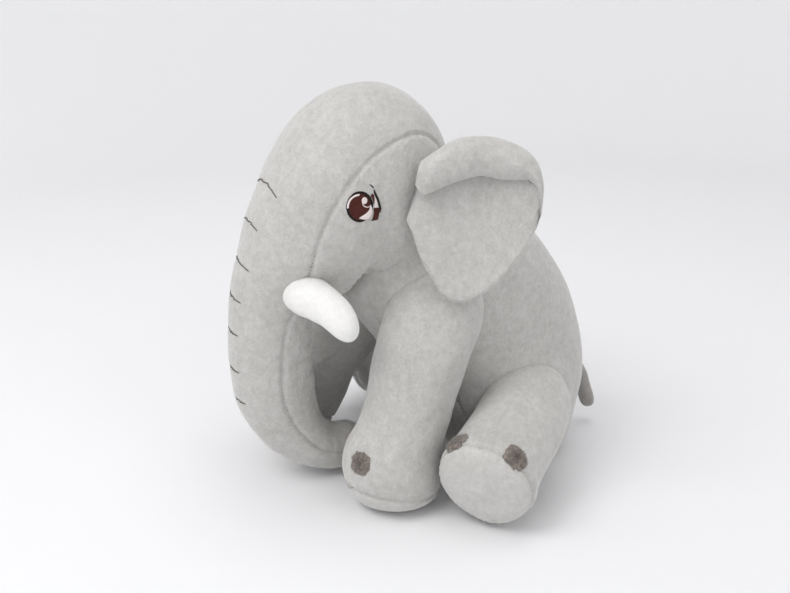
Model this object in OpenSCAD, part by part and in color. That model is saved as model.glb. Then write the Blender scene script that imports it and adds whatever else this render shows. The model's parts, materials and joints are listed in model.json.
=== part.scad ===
// Stuffed elephant, sitting, in short-pile plush: cloth panels over filling, jointed where the toy bends.
// Frame: seat centre at the origin, +Z up, the elephant faces -Y, its left side is +X. Millimetres.

/* [Body] */
// Width of the body between the flat sides of the two hips
hip_w = 96; // [90:1:100]
// Width of the body between the flat sides of the two shoulders
shoulder_w = 80; // [76:1:84]
// Width of the flat seat panel
seat_w = 68; // [56:1:72]
// Depth of the flat seat panel, front to back
seat_d = 60; // [50:1:64]
// Thickness of the plush cloth, backing and pile
cloth = 1.6; // [1.2:0.1:2]

/* [Head] */
// Widest point of the head, cheek to cheek
head_w = 102; // [96:1:106]
// Diameter of the embroidered eye
eye_d = 17; // [12:1:19]

/* [Trunk] */
// Width of the trunk where it hangs free
trunk_w = 44; // [38:1:44]
// Diameter of the trunk's rounded tip
trunk_tip_d = 28; // [24:1:30]

/* [Ears] */
// Size of each ear, root seam to outer rim, as a percentage of the usual ear
ear_pct = 100; // [90:1:104]
// Radius of the roll where the top of the ear folds over
fold_r = 5; // [4:0.5:6]
// Angle of the ear away from the side of the head
ear_yaw = 27; // [24:1:32]

/* [Tusks] */
// Length of each tusk outside the cheek
tusk_len = 46; // [36:1:50]
// Diameter of the tusk at the cheek
tusk_d = 21; // [16:1:22]

/* [Legs] */
// Width of the front leg, side to side
front_leg_w = 53; // [48:1:54]
// Width of the front foot, side to side
front_foot_w = 57; // [54:1:57]
// Diameter of the hind sole
hind_sole_d = 61; // [56:1:63]
// Direction of the hind leg, outward from straight ahead
hind_yaw = 41; // [38:1:46]
// Droop of the hind leg towards the floor
hind_droop = 15; // [12:1:17]

// How far the right front leg is swung forward from upright, in degrees
right_swing = 20; // [0:1:20]

/* [Tail] */
// Length of the tail below its hinge
tail_len = 31; // [24:1:34]
// Diameter of the tail
tail_d = 12.6; // [10:0.2:13]

/* [Hidden] */

plush = [0.60, 0.57, 0.55];
sole_grey = [0.68, 0.65, 0.63];
ivory = [0.93, 0.91, 0.88];
nail_brown = [0.47, 0.43, 0.40];
fill_white = [0.95, 0.95, 0.93];
eye_brown = [0.16, 0.10, 0.08];
tail_grey = [0.50, 0.47, 0.45];

gap = 0.4;              // air between two bodies that turn against each other
fill_gap = 0.3;         // air between a cloth panel and the filling behind it
rim_gap = 0.9;          // air between a hinge ball and the cloth rim round it
cup_gap = 1.2;          // air between a hinge ball and the cup of filling it turns in
fill_off = cloth + fill_gap;

function lerp(a, b, t) = a + (b - a) * t;
function flat(rows) = [for (r = rows) each r];
function ease(t) = let (c = min(1, max(0, t))) c * c * (3 - 2 * c);

// ---------- closed solids from rows of points ----------
// Two matching grids of points joined round their edges: a cloth panel.
module panel(outer, inner) {
  m = len(outer);
  n = len(outer[0]);
  s = m * n;
  front = [for (i = [0:m-2], j = [0:n-2])
    each [[i*n+j, i*n+j+1, (i+1)*n+j+1], [i*n+j, (i+1)*n+j+1, (i+1)*n+j]]];
  back = [for (f = front) [s + f[2], s + f[1], s + f[0]]];
  low = [for (j = [0:n-2]) each [[j, s+j+1, j+1], [j, s+j, s+j+1]]];
  top = [for (j = [0:n-2]) let (k = (m-1)*n + j) each [[k, k+1, s+k+1], [k, s+k+1, s+k]]];
  side_a = [for (i = [0:m-2]) let (k = i*n) each [[k, k+n, s+k+n], [k, s+k+n, s+k]]];
  side_b = [for (i = [0:m-2]) let (k = i*n+n-1) each [[k, s+k+n, k+n], [k, s+k, s+k+n]]];
  polyhedron(concat(flat(outer), flat(inner)), concat(front, back, low, top, side_a, side_b));
}

// A stack of closed rings with a flat cap at each end: filling, a tube or a cup.
module stack(rings) {
  m = len(rings);
  n = len(rings[0]);
  walls = [for (i = [0:m-2], j = [0:n-1]) let (k = (j + 1) % n)
    each [[i*n+j, (i+1)*n+k, i*n+k], [i*n+j, (i+1)*n+j, (i+1)*n+k]]];
  start = [[for (j = [0:n-1]) j]];
  end = [[for (j = [n-1:-1:0]) (m-1)*n + j]];
  polyhedron(flat(rings), concat(walls, start, end));
}

module mirrored() {
  mirror([1, 0, 0]) children();
}

// ---------- the midline: body, head and trunk are sections across one curved spine ----------
// Section: [centre y, centre z, lean, half depth, half width, side fullness].
// Angle 0 is the back of the body, the crown of the head and the front of the trunk.
function sgn_pow(s, e) = sign(s) * pow(abs(s), e);
function spine_pt(s, a, off) =
  let (d = (s[3] - off) * cos(a), w = (s[4] - off) * sgn_pow(sin(a), s[5]))
  [w, s[0] + d * cos(s[2]), s[1] + d * sin(s[2])];

// The body is narrower at the shoulders than at the hips.
function body_limit(y) = lerp(shoulder_w / 2, hip_w / 2, ease((y + 30) / 24));
function body_pt(s, a, off) =
  let (p = spine_pt(s, a, off), lim = body_limit(p[1]) - off)
  [min(lim, max(-lim, p[0])), p[1], p[2]];

function from_ends(o, i, w, e) =
  let (d = o - i)
  [(o[0] + i[0]) / 2, (o[1] + i[1]) / 2, atan2(d[1], d[0]), norm(d) / 2, w, e];

// A hinge ball: [centre y, centre z, lean of its section, radius, half width]
neck = [-76, 163, 45, 41, 39];
trunk_root = [-165, 122, 172, 24.3, 23.4];
trunk_mid = [-163, 58, 196, 23.6, trunk_w / 2];
// Section of a ball at angle phi before its middle (towards the root of the spine).
function ball_sec(b, phi, grow) =
  let (r = b[3] + grow, w = b[4] + grow, h = r * sin(phi))
  [b[0] + h * sin(b[2]), b[1] - h * cos(b[2]), b[2], r * cos(phi), w * cos(phi), 1];
rim_phi = 28;
neck_rim_phi = 20;
function rim_sec(b, phi) =
  let (s = ball_sec(b, phi, 0))
  [s[0], s[1], s[2], s[3] + rim_gap + cloth, s[4] + rim_gap + cloth, 1];
// The cup in the filling starts deeper than the cloth rim, so that only cloth comes close to the ball.
function socket_secs(b) = [for (p = [42, 60, 76]) ball_sec(b, p, cup_gap)];

// ---------- body ----------
hip_hw = hip_w / 2;
seat_sec = [0, 0, 0, seat_d / 2, seat_w / 2, 0.9];
body_secs = [
  seat_sec,
  [-1, 2.5, 0, seat_d / 2 + 7, seat_w / 2 + 5, 0.9],
  [-3, 9, 1, 45, hip_hw - 4, 0.85],
  [-7, 26, 6, 54, hip_hw, 0.8],
  [-10, 48, 12, 59, hip_hw, 0.75],
  [-17, 74, 19, 61, hip_hw, 0.75],
  [-34, 101, 26, 62, hip_hw, 0.8],
  [-49, 124, 33, 57, hip_hw - 4, 0.85],
  [-60, 141, 39, 49, hip_hw - 6, 0.95],
  rim_sec(neck, neck_rim_phi)
];
chest_a = [125, 126, 128, 132, 137, 142, 146, 148, 149, 150];   // edge of the chest panel
// One ring of angles per section: columns 0 to 9 are the left side, 9 to 15 the chest, 15 to 24 the right.
function body_angles(c) = concat([for (j = [0:8]) c * j / 9], [for (j = [0:5]) lerp(c, 360 - c, j / 6)],
  [for (j = [0:9]) lerp(360 - c, 360, j / 9)]);
body_a = [for (c = chest_a) body_angles(c)];
body_last = len(body_secs) - 1;
function body_grid(from, to, off) =
  [for (i = [1:body_last]) [for (j = [from:to]) body_pt(body_secs[i], body_a[i][j], off)]];
module body_panel(from, to) {
  color(plush) panel(body_grid(from, to, 0), body_grid(from, to, cloth));
}

module body_panel_left() {
  body_panel(0, 9);
}
module body_panel_right() {
  body_panel(15, 24);
}
module chest_panel() {
  body_panel(9, 15);
}
module seat_panel() {
  rim = body_secs[1];
  function seat_ring(s, off, rise) = [for (j = [0:23]) body_pt(s, j * 15, off) + [0, 0, rise]];
  color(plush) stack([seat_ring(seat_sec, cloth + 3, cloth), seat_ring(rim, cloth, -0.1),
    seat_ring(rim, 0, -0.1), seat_ring(seat_sec, 0, 0)]);
}
module body_stuffing() {
  function fill_ring(i, off, rise) =
    [for (j = [0:23]) body_pt(body_secs[i], body_a[i][j], off) + [0, 0, rise]];
  low = [fill_ring(0, cloth + 4, cloth + fill_gap), fill_ring(1, fill_off + 1.5, 1)];
  walls = [for (i = [2:body_last-1]) fill_ring(i, fill_off, 0)];
  cup = [for (s = socket_secs(neck))
    [for (j = [0:23]) spine_pt(s, body_a[body_last][j], 0)]];
  color(fill_white) stack(concat(low, walls, cup));
}

// ---------- head ----------
head_hw = head_w / 2;
head_ball = [for (p = [52, 34, 17]) ball_sec(neck, p, 0)];
head_secs = concat(head_ball, [
  ball_sec(neck, 0, 0),
  from_ends([-49, 207], [-106, 138], head_hw - 7, 0.95),
  from_ends([-56, 222], [-108, 138], head_hw - 3.5, 0.9),
  from_ends([-70, 241], [-112, 138], head_hw - 1.5, 0.85),
  from_ends([-92, 252], [-118, 138], head_hw - 0.5, 0.85),
  from_ends([-118, 250], [-124, 138], head_hw, 0.85),
  from_ends([-142, 239], [-130, 137], head_hw - 1, 0.85),
  from_ends([-161, 216], [-135, 136], head_hw - 4, 0.9),
  from_ends([-173, 190], [-139, 134], head_hw - 10, 0.95),
  from_ends([-182, 163], [-141, 130], head_hw - 18, 1),
  rim_sec(trunk_root, rim_phi)
]);
// Edge of the forehead panel and of the chin panel, one angle per head section.
brow_a = [20, 24, 28, 34, 40, 44, 48, 55, 64, 70, 73, 72, 72, 80];
chin_a = [152, 150, 148, 146, 146, 146, 146, 146, 145, 143, 139, 130, 116, 100];
// One ring of angles per section: columns 0 to 10 are the forehead, 10 to 16 the left cheek,
// 16 to 22 the chin, 22 to 28 the right cheek.
head_last = len(head_secs) - 1;
head_a = [for (i = [0:head_last]) let (b = brow_a[i], c = chin_a[i])
  concat([for (j = [0:9]) lerp(-b, b, j / 10)], [for (j = [0:5]) lerp(b, c, j / 6)],
    [for (j = [0:5]) lerp(c, 360 - c, j / 6)], [for (j = [0:6]) lerp(360 - c, 360 - b, j / 6)])];
function head_grid(from, to, off, last = head_last) =
  [for (i = [0:last]) [for (j = [from:to]) spine_pt(head_secs[i], head_a[i][j], off)]];
module head_panel(from, to) {
  color(plush) panel(head_grid(from, to, 0), head_grid(from, to, cloth));
}

module forehead_panel() {
  head_panel(0, 10);
}
module cheek_panel_left() {
  head_panel(10, 16);
}
module cheek_panel_right() {
  head_panel(22, 28);
}
module chin_panel() {
  head_panel(16, 22);
}
module head_stuffing() {
  cup = [for (s = socket_secs(trunk_root))
    [for (j = [0:27]) spine_pt(s, head_a[head_last][j], 0)]];
  color(fill_white) stack(concat(head_grid(0, 27, fill_off, head_last - 1), cup));
}

// The eye is a thread disc sewn on the cheek, facing out and a little forward.
eye_pos = [head_hw + 0.2, -122, 190];
eye_yaw = 86;
eye_tilt = 2;
module eye() {
  translate(eye_pos) rotate([0, 0, eye_yaw - 90]) rotate([0, 90 - eye_tilt, 0])
    stack([for (k = [[1, 0.4], [1, 1.0], [0.8, 1.5], [0.45, 1.8]])
      [for (j = [0:19]) [eye_d / 2 * k[0] * cos(j * 18), eye_d / 2 * k[0] * sin(j * 18), k[1]]]]);
}
module eye_left() {
  color(eye_brown) eye();
}
module eye_right() {
  color(eye_brown) mirrored() eye();
}

// ---------- trunk ----------
tw = trunk_w / 2;
tip_r = trunk_tip_d / 2;
upper_secs = concat([for (p = [50, 34, 17, 0]) ball_sec(trunk_root, p, 0)], [
  [-167, 100, 180, 24.4, tw + 0.8, 1],
  [-166.7, 84, 186, 24.2, tw + 0.2, 1],
  rim_sec(trunk_mid, rim_phi)
]);
lower_secs = concat([for (p = [50, 34, 17, 0]) ball_sec(trunk_mid, p, 0)], [
  [-157.5, 42, 211, 22.2, tw - 1.5, 1],
  [-147.5, 26.5, 228, 18.9, tw - 4, 1],
  [-134.5, 17, 249, 16, tip_r + 1.8, 1],
  [-121, tip_r + 0.6, 268, tip_r, tip_r, 1],
  [-112, tip_r + 0.8, 271, tip_r - 1.6, tip_r - 1.6, 1]
]);
trunk_seam = 84;         // angle of the side seams from the front of the trunk
// Columns 0 to 10 are the front of the trunk, 10 to 20 its underside.
trunk_a = concat([for (j = [0:9]) lerp(-trunk_seam, trunk_seam, j / 10)],
  [for (j = [0:10]) lerp(trunk_seam, 360 - trunk_seam, j / 10)]);
function trunk_grid(secs, from, to, off) =
  [for (s = secs) [for (j = [from:to]) spine_pt(s, trunk_a[j], off)]];
module trunk_front(secs) {
  panel(trunk_grid(secs, 0, 10, 0), trunk_grid(secs, 0, 10, cloth));
}
module trunk_under(secs) {
  panel(trunk_grid(secs, 10, 20, 0), trunk_grid(secs, 10, 20, cloth));
}
module trunk_upper_front() {
  color(plush) trunk_front(upper_secs);
}
module trunk_upper_underside() {
  color(plush) trunk_under(upper_secs);
}
module trunk_upper_stuffing() {
  walls = [for (i = [0:len(upper_secs)-2]) upper_secs[i]];
  color(fill_white) stack(concat(trunk_grid(walls, 0, 19, fill_off),
    trunk_grid(socket_secs(trunk_mid), 0, 19, 0)));
}
module trunk_lower_front() {
  color(plush) trunk_front(lower_secs);
}
module trunk_lower_underside() {
  color(plush) trunk_under(lower_secs);
}
module trunk_lower_stuffing() {
  color(fill_white) stack(trunk_grid(lower_secs, 0, 19, fill_off));
}
module trunk_tip_patch() {
  n = 20;
  s = lower_secs[len(lower_secs) - 1];
  function tip_ring(push, k) =
    [for (j = [0:n-1]) spine_pt([s[0] + push, s[1], s[2], s[3] * k, s[4] * k, 1], j * 18, 0)];
  color(plush) stack([tip_ring(fill_gap, 0.5), tip_ring(fill_gap, 1),
    tip_ring(fill_gap + cloth, 0.92), tip_ring(fill_gap + cloth + 1.6, 0.5)]);
}

// ---------- ears ----------
// Ear plane: u up along the root seam, v out from it, w towards the front. The hinge is the root seam.
ear_root = [53.5, -83, 189];
ear_lean = 15.7;         // lean of the root seam, forward at the bottom
ear_u = [0, sin(ear_lean), cos(ear_lean)];
ear_h = [sin(ear_yaw), cos(ear_yaw), 0];
ear_v0 = ear_h - (ear_h * ear_u) * ear_u;
ear_v = ear_v0 / norm(ear_v0);
ear_w = cross(ear_v, ear_u);
// Columns across the ear: [v, lowest u, highest u, length of the folded flap]
ear_cols = [
  [-2.6, -19, 27, 19], [4, -30, 36, 21], [14, -41, 40, 20], [24, -49, 42, 19], [34, -49, 43, 18],
  [43, -42, 42, 16], [51, -30, 37, 10], [57, -16, 29, 5], [60.5, -4, 21, 3]
];
ear_k = ear_pct / 100;
// Sheet point at arc fraction: rises to the fold, turns over it, then hangs in front. off is along w.
function ear_uw(c, k, off) =
  let (top = c[2] - fold_r)
  k <= 6 ? [lerp(c[1], top, k / 6), off]
  : k <= 10 ? let (a = (k - 6) * 45) [top + (fold_r - off) * sin(a), fold_r - (fold_r - off) * cos(a)]
  : [top - c[3] * (k - 10) / 2, 2 * fold_r - off];
function ear_grid(off) =
  [for (c = ear_cols) [for (k = [0:12])
    let (q = ear_uw(c, k, off))
    ear_root + ear_k * (c[0] * ear_v + q[0] * ear_u) + q[1] * ear_w]];
module ear_back() {
  panel(ear_grid(-cloth - 0.4), ear_grid(-0.1));
}
module ear_lining() {
  panel(ear_grid(0.1), ear_grid(cloth + 0.2));
}
module ear_left_back() {
  color(plush) ear_back();
}
module ear_left_lining() {
  color(plush) ear_lining();
}
module ear_right_back() {
  color(plush) mirrored() ear_back();
}
module ear_right_lining() {
  color(plush) mirrored() ear_lining();
}

// ---------- tusks ----------
tusk_base = [33, -155, 130.5];
tusk_dir = [0.87, 0.36, 0];
tusk_side = [-tusk_dir[1], tusk_dir[0], 0];
// Stations along a tusk: [share of the length, drop, share of the radius]
tusk_rows = [[0, 0, 1], [0.2, 0.1, 0.98], [0.4, 1, 0.95], [0.6, 3.2, 0.9], [0.78, 6.6, 0.84],
  [0.9, 9.4, 0.7], [0.97, 11.2, 0.48], [1, 12, 0.22]];
function tusk_ring(t, off, grow) =
  let (r = max(0.6, tusk_d / 2 * t[2] - off), lean = 8 + 26 * t[0])
  [for (j = [0:15])
    let (a = j * 22.5, up = r * cos(a))
    tusk_base + tusk_dir * (t[0] * tusk_len - grow + up * sin(lean) * 0.9)
      + tusk_side * (r * sin(a)) + [0, 0, up * cos(lean) - t[1]]];
module tusk_skin() {
  inner = [for (i = [len(tusk_rows)-2:-1:0]) tusk_ring(tusk_rows[i], cloth, i > 5 ? 0.8 : 0)];
  outer = [for (t = tusk_rows) tusk_ring(t, 0, 0)];
  stack(concat(inner, outer));
}
module tusk_filling() {
  stack([for (i = [0:5]) tusk_ring(tusk_rows[i], fill_off, i == 0 ? -1 : 0.5)]);
}
module tusk_left_cover() {
  color(ivory) tusk_skin();
}
module tusk_left_stuffing() {
  color(fill_white) tusk_filling();
}
module tusk_right_cover() {
  color(ivory) mirrored() tusk_skin();
}
module tusk_right_stuffing() {
  color(fill_white) mirrored() tusk_filling();
}

// ---------- front legs ----------
// Level sections: [centre x, centre y, z, half width, half depth]. Angle 0 is the front, 90 outward.
flw = front_leg_w / 2;
ffw = front_foot_w / 2;
shoulder_plane = shoulder_w / 2 + gap;
front_secs = [
  [50, -75, 138.5, 6, 9],
  [47, -75, 136, 13, 17],
  [45, -75, 129, 20, 25],
  [44.5, -75, 120, 25, 30],
  [45, -76, 110, 27.5, 32],
  [46.5, -85, 90, 27, 31.5],
  [48, -93, 67, flw, 30.5],
  [50, -99, 46, flw, 31],
  [52, -104, 26, ffw, 32],
  [52, -105, 12, ffw, 31.5]
];
// Above the belly the inner face is flat against the shoulder; lower down the leg is fully round.
function front_limit(z) = lerp(shoulder_plane, 10, ease((64 - z) / 24));
function front_pt(s, a, off) =
  [max(front_limit(s[2]) + off, s[0] + (s[3] - off) * sin(a)), s[1] - (s[4] - off) * cos(a), s[2]];
function front_grid(a0, a1, n, off) =
  [for (s = front_secs) [for (j = [0:n]) front_pt(s, lerp(a0, a1, j / n), off)]];
module front_outer() {
  panel(front_grid(0, 180, 9, 0), front_grid(0, 180, 9, cloth));
}
module front_inner() {
  panel(front_grid(180, 360, 9, 0), front_grid(180, 360, 9, cloth));
}
module front_sole() {
  s = front_secs[len(front_secs) - 1];
  function sole_ring(k, z, off) =
    [for (j = [0:23]) [s[0] + (s[3] * k - off) * sin(j * 15), s[1] - (s[4] * k - off) * cos(j * 15), z]];
  stack([sole_ring(0.5, cloth, 0), sole_ring(0.8, cloth, 0), sole_ring(0.98, 6, cloth),
    sole_ring(1, 11.9, cloth), sole_ring(1, 11.9, 0), sole_ring(0.98, 5, 0), sole_ring(0.9, 1.6, 0),
    sole_ring(0.78, 0, 0)]);
}
module front_filling() {
  s = front_secs[len(front_secs) - 1];
  base = [s[0], s[1], cloth + fill_gap, s[3] * 0.7, s[4] * 0.7];
  low = [s[0], s[1], 6.4, s[3] - 1, s[4] - 1];
  stack([for (q = concat(front_secs, [low, base])) [for (j = [0:17]) front_pt(q, j * 20, fill_off)]]);
}
// Two furry toenail patches on the front of each foot.
nail_a = [37, -37];
nail_w = 30;             // angle each patch spans
function nail_sec(z) =
  let (a = front_secs[7], b = front_secs[8], t = (a[2] - z) / (a[2] - b[2]))
  [for (k = [0:4]) lerp(a[k], b[k], t)];
function front_nail_grid(c, off) =
  [for (z = [44, 38, 32, 27]) let (q = nail_sec(z), h = nail_w / 2 * (z > 40 ? 0.6 : z < 30 ? 0.85 : 1))
    [for (j = [0:4]) front_pt(q, lerp(c - h, c + h, j / 4), off)]];
module front_nails() {
  for (c = nail_a) panel(front_nail_grid(c, -1.5), front_nail_grid(c, -0.4));
}
// The right leg is the left one mirrored, then swung forward about the shoulder hinge.
shoulder_hinge = [0, -75, 110];
module right_front() {
  translate(shoulder_hinge) rotate([-right_swing, 0, 0]) translate(-shoulder_hinge)
    mirrored() children();
}
module front_leg_left_outer_panel() {
  color(plush) front_outer();
}
module front_leg_left_inner_panel() {
  color(plush) front_inner();
}
module front_leg_left_sole() {
  color(sole_grey) front_sole();
}
module front_leg_left_stuffing() {
  color(fill_white) front_filling();
}
module front_leg_left_toenails() {
  color(nail_brown) front_nails();
}
module front_leg_right_outer_panel() {
  color(plush) right_front() front_outer();
}
module front_leg_right_inner_panel() {
  color(plush) right_front() front_inner();
}
module front_leg_right_sole() {
  color(sole_grey) right_front() front_sole();
}
module front_leg_right_stuffing() {
  color(fill_white) right_front() front_filling();
}
module front_leg_right_toenails() {
  color(nail_brown) right_front() front_nails();
}

// ---------- hind legs ----------
// A leg lies along hind_n from the flat side of the hip to the sole. Angle 0 is the top, 90 outward.
hip_plane = hip_w / 2 + gap;
hind_n = [sin(hind_yaw) * cos(hind_droop), -cos(hind_yaw) * cos(hind_droop), -sin(hind_droop)];
hind_s = [cos(hind_yaw), sin(hind_yaw), 0];
hind_up = cross(hind_n, hind_s);
hind_sole_c = [103, -66, 31];
sole_r = hind_sole_d / 2;
// Rows along the leg: [share of the way from hip to sole, share of the radius]
hind_rows = [[0, 1.06], [0.18, 1.05], [0.38, 1.0], [0.58, 0.95], [0.76, 0.94], [0.9, 0.98], [1, 1]];
function hind_end(a, off) = hind_sole_c + (sole_r - off) * (hind_up * cos(a) + hind_s * sin(a));
// Where the leg meets the flat of the hip; cloth and filling stop short of it by their own offset.
function hind_root(a, off) =
  let (p = hind_end(a, off)) p + hind_n * ((hip_plane + max(0, off) - p[0]) / hind_n[0]);
function hind_pt(h, a, off) =
  let (p = lerp(hind_root(a, off), hind_end(a, off), h[0]),
    r = (sole_r * (h[1] - 1)) * sin(180 * h[0]))
  p + r * (hind_up * cos(a) + hind_s * sin(a));
function hind_grid(a0, a1, n, off) =
  [for (h = hind_rows) [for (j = [0:n]) hind_pt(h, lerp(a0, a1, j / n), off)]];
module hind_outer() {
  panel(hind_grid(0, 180, 9, 0), hind_grid(0, 180, 9, cloth));
}
module hind_inner() {
  panel(hind_grid(180, 360, 9, 0), hind_grid(180, 360, 9, cloth));
}
module hind_sole() {
  function sole_ring(k, out, off) =
    [for (j = [0:23]) hind_sole_c + hind_n * out
      + (sole_r * k - off) * (hind_up * cos(j * 15) + hind_s * sin(j * 15))];
  stack([sole_ring(0.4, 4.2, 0), sole_ring(0.8, 2.8, 0), sole_ring(1, 0.1, cloth),
    sole_ring(1, 0.1, 0), sole_ring(0.96, 2.8, 0), sole_ring(0.75, 5.4, 0), sole_ring(0.4, 6.6, 0)]);
}
module hind_filling() {
  stack([for (h = hind_rows) [for (j = [0:17]) hind_pt(h, j * 20, fill_off)]]);
}
function hind_nail_grid(c, off) =
  [for (q = [[0.72, 0.6], [0.8, 1], [0.88, 1], [0.95, 0.85]])
    let (h = [q[0], lerp(0.94, 1, (q[0] - 0.76) / 0.24)])
    [for (j = [0:4]) hind_pt(h, lerp(c - q[1] * nail_w / 2, c + q[1] * nail_w / 2, j / 4), off)]];
module hind_nails() {
  for (c = [39, -37]) panel(hind_nail_grid(c, -1.9), hind_nail_grid(c, -0.7));
}
module hind_leg_left_outer_panel() {
  color(plush) hind_outer();
}
module hind_leg_left_inner_panel() {
  color(plush) hind_inner();
}
module hind_leg_left_sole() {
  color(sole_grey) hind_sole();
}
module hind_leg_left_stuffing() {
  color(fill_white) hind_filling();
}
module hind_leg_left_toenails() {
  color(nail_brown) hind_nails();
}
module hind_leg_right_outer_panel() {
  color(plush) mirrored() hind_outer();
}
module hind_leg_right_inner_panel() {
  color(plush) mirrored() hind_inner();
}
module hind_leg_right_sole() {
  color(sole_grey) mirrored() hind_sole();
}
module hind_leg_right_stuffing() {
  color(fill_white) mirrored() hind_filling();
}
module hind_leg_right_toenails() {
  color(nail_brown) mirrored() hind_nails();
}

// ---------- tail ----------
tail_hinge = [0, 57.5, 43];
tail_lean = 16;          // angle of the tail away from straight down
tail_r = tail_d / 2;
// Stations from the root ball to the tip: [distance below the hinge, share of the radius]
tail_rows = [[-0.94, 0.34], [-0.64, 0.77], [0, 1]];
function tail_ring(d, r) =
  [for (j = [0:15]) tail_hinge + [r * cos(j * 22.5), d * sin(tail_lean) + r * sin(j * 22.5) * cos(tail_lean),
    -d * cos(tail_lean) + r * sin(j * 22.5) * sin(tail_lean)]];
tail_profile = concat([for (t = tail_rows) [t[0] * tail_r, t[1] * tail_r]],
  [[tail_len * 0.4, tail_r * 0.97], [tail_len * 0.75, tail_r * 0.93], [tail_len * 0.93, tail_r * 0.7],
   [tail_len, tail_r * 0.35]]);
module tail_cover() {
  inner = [for (i = [4:-1:2]) tail_ring(tail_profile[i][0], tail_profile[i][1] - cloth)];
  color(tail_grey) difference() {
    stack([for (p = tail_profile) tail_ring(p[0], p[1])]);
    stack(inner);
  }
}
module tail_stuffing() {
  color(fill_white)
    stack([for (i = [4:-1:2])
      tail_ring(tail_profile[i][0] + (i == 4 ? -fill_gap : i == 2 ? fill_gap : 0),
        tail_profile[i][1] - fill_off)]);
}

body_panel_left();
body_panel_right();
chest_panel();
seat_panel();
body_stuffing();
forehead_panel();
cheek_panel_left();
cheek_panel_right();
chin_panel();
head_stuffing();
eye_left();
eye_right();
trunk_upper_front();
trunk_upper_underside();
trunk_upper_stuffing();
trunk_lower_front();
trunk_lower_underside();
trunk_lower_stuffing();
trunk_tip_patch();
ear_left_back();
ear_left_lining();
ear_right_back();
ear_right_lining();
tusk_left_cover();
tusk_left_stuffing();
tusk_right_cover();
tusk_right_stuffing();
front_leg_left_outer_panel();
front_leg_left_inner_panel();
front_leg_left_sole();
front_leg_left_stuffing();
front_leg_left_toenails();
front_leg_right_outer_panel();
front_leg_right_inner_panel();
front_leg_right_sole();
front_leg_right_stuffing();
front_leg_right_toenails();
hind_leg_left_outer_panel();
hind_leg_left_inner_panel();
hind_leg_left_sole();
hind_leg_left_stuffing();
hind_leg_left_toenails();
hind_leg_right_outer_panel();
hind_leg_right_inner_panel();
hind_leg_right_sole();
hind_leg_right_stuffing();
hind_leg_right_toenails();
tail_cover();
tail_stuffing();
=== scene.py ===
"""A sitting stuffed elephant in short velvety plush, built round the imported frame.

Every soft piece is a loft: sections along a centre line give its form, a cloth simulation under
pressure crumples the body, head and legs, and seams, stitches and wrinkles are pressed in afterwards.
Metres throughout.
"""
import json
import math

import bpy
import numpy as np
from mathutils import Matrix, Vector, noise
from mathutils.bvhtree import BVHTree


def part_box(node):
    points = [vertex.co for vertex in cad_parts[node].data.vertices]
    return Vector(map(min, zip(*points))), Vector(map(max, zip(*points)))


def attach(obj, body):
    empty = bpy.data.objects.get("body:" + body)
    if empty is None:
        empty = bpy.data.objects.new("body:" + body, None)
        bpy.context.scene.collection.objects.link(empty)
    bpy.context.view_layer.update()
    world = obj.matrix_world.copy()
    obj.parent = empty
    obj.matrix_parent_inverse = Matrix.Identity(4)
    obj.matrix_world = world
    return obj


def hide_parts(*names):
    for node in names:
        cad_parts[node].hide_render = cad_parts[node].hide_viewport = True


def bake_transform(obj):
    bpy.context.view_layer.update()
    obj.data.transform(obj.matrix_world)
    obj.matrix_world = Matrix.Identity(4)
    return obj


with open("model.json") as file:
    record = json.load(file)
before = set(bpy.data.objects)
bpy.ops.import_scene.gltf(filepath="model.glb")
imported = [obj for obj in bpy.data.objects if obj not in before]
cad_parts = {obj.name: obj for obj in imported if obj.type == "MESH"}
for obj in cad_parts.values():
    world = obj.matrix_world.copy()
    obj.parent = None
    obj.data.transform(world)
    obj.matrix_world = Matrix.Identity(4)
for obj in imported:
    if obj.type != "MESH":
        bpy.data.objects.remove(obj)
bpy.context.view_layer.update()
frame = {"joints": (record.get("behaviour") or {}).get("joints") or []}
MM = 0.001
JOINTS = {j["name"]: j for j in frame["joints"]}


def hinge(name):
    """A joint's place, in millimetres."""
    return np.array(JOINTS[name]["pos_m"]) / MM


NECK = hinge("neck_nod")
EAR_ROOT = hinge("ear_left_flap")
SHOULDER = hinge("shoulder_left_swing")
TAIL = hinge("tail_swing")


def placed(name, data):
    """A new object in the scene."""
    obj = bpy.data.objects.new(name, data)
    bpy.context.scene.collection.objects.link(obj)
    return obj


# ---------------------------------------------------------------- curves and lofts
def smooth(xs, ys, xq):
    """A smooth curve through rows ys at xs, read at xq."""
    xs, ys, xq = np.asarray(xs, float), np.asarray(ys, float), np.asarray(xq, float)
    wide = (-1,) + (1,) * (ys.ndim - 1)
    h = np.diff(xs)
    slope = np.diff(ys, axis=0) / h.reshape(wide)
    m = np.empty_like(ys)
    m[0], m[-1] = slope[0], slope[-1]
    w = (h[1:] / (h[1:] + h[:-1])).reshape(wide)
    m[1:-1] = slope[:-1] * w + slope[1:] * (1 - w)
    k = np.clip(np.searchsorted(xs, xq, side="right") - 1, 0, len(xs) - 2)
    t = ((xq - xs[k]) / h[k]).reshape(wide)
    hk = h[k].reshape(wide)
    return ((2 * t**3 - 3 * t**2 + 1) * ys[k] + (t**3 - 2 * t**2 + t) * hk * m[k]
            + (3 * t**2 - 2 * t**3) * ys[k + 1] + (t**3 - t**2) * hk * m[k + 1])


def crowd(n, pull):
    """n steps from 0 to 1, crowded at both ends, where the seams run."""
    t = np.arange(n) / n
    return t - pull * np.sin(2 * np.pi * t) / (2 * np.pi)


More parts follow.
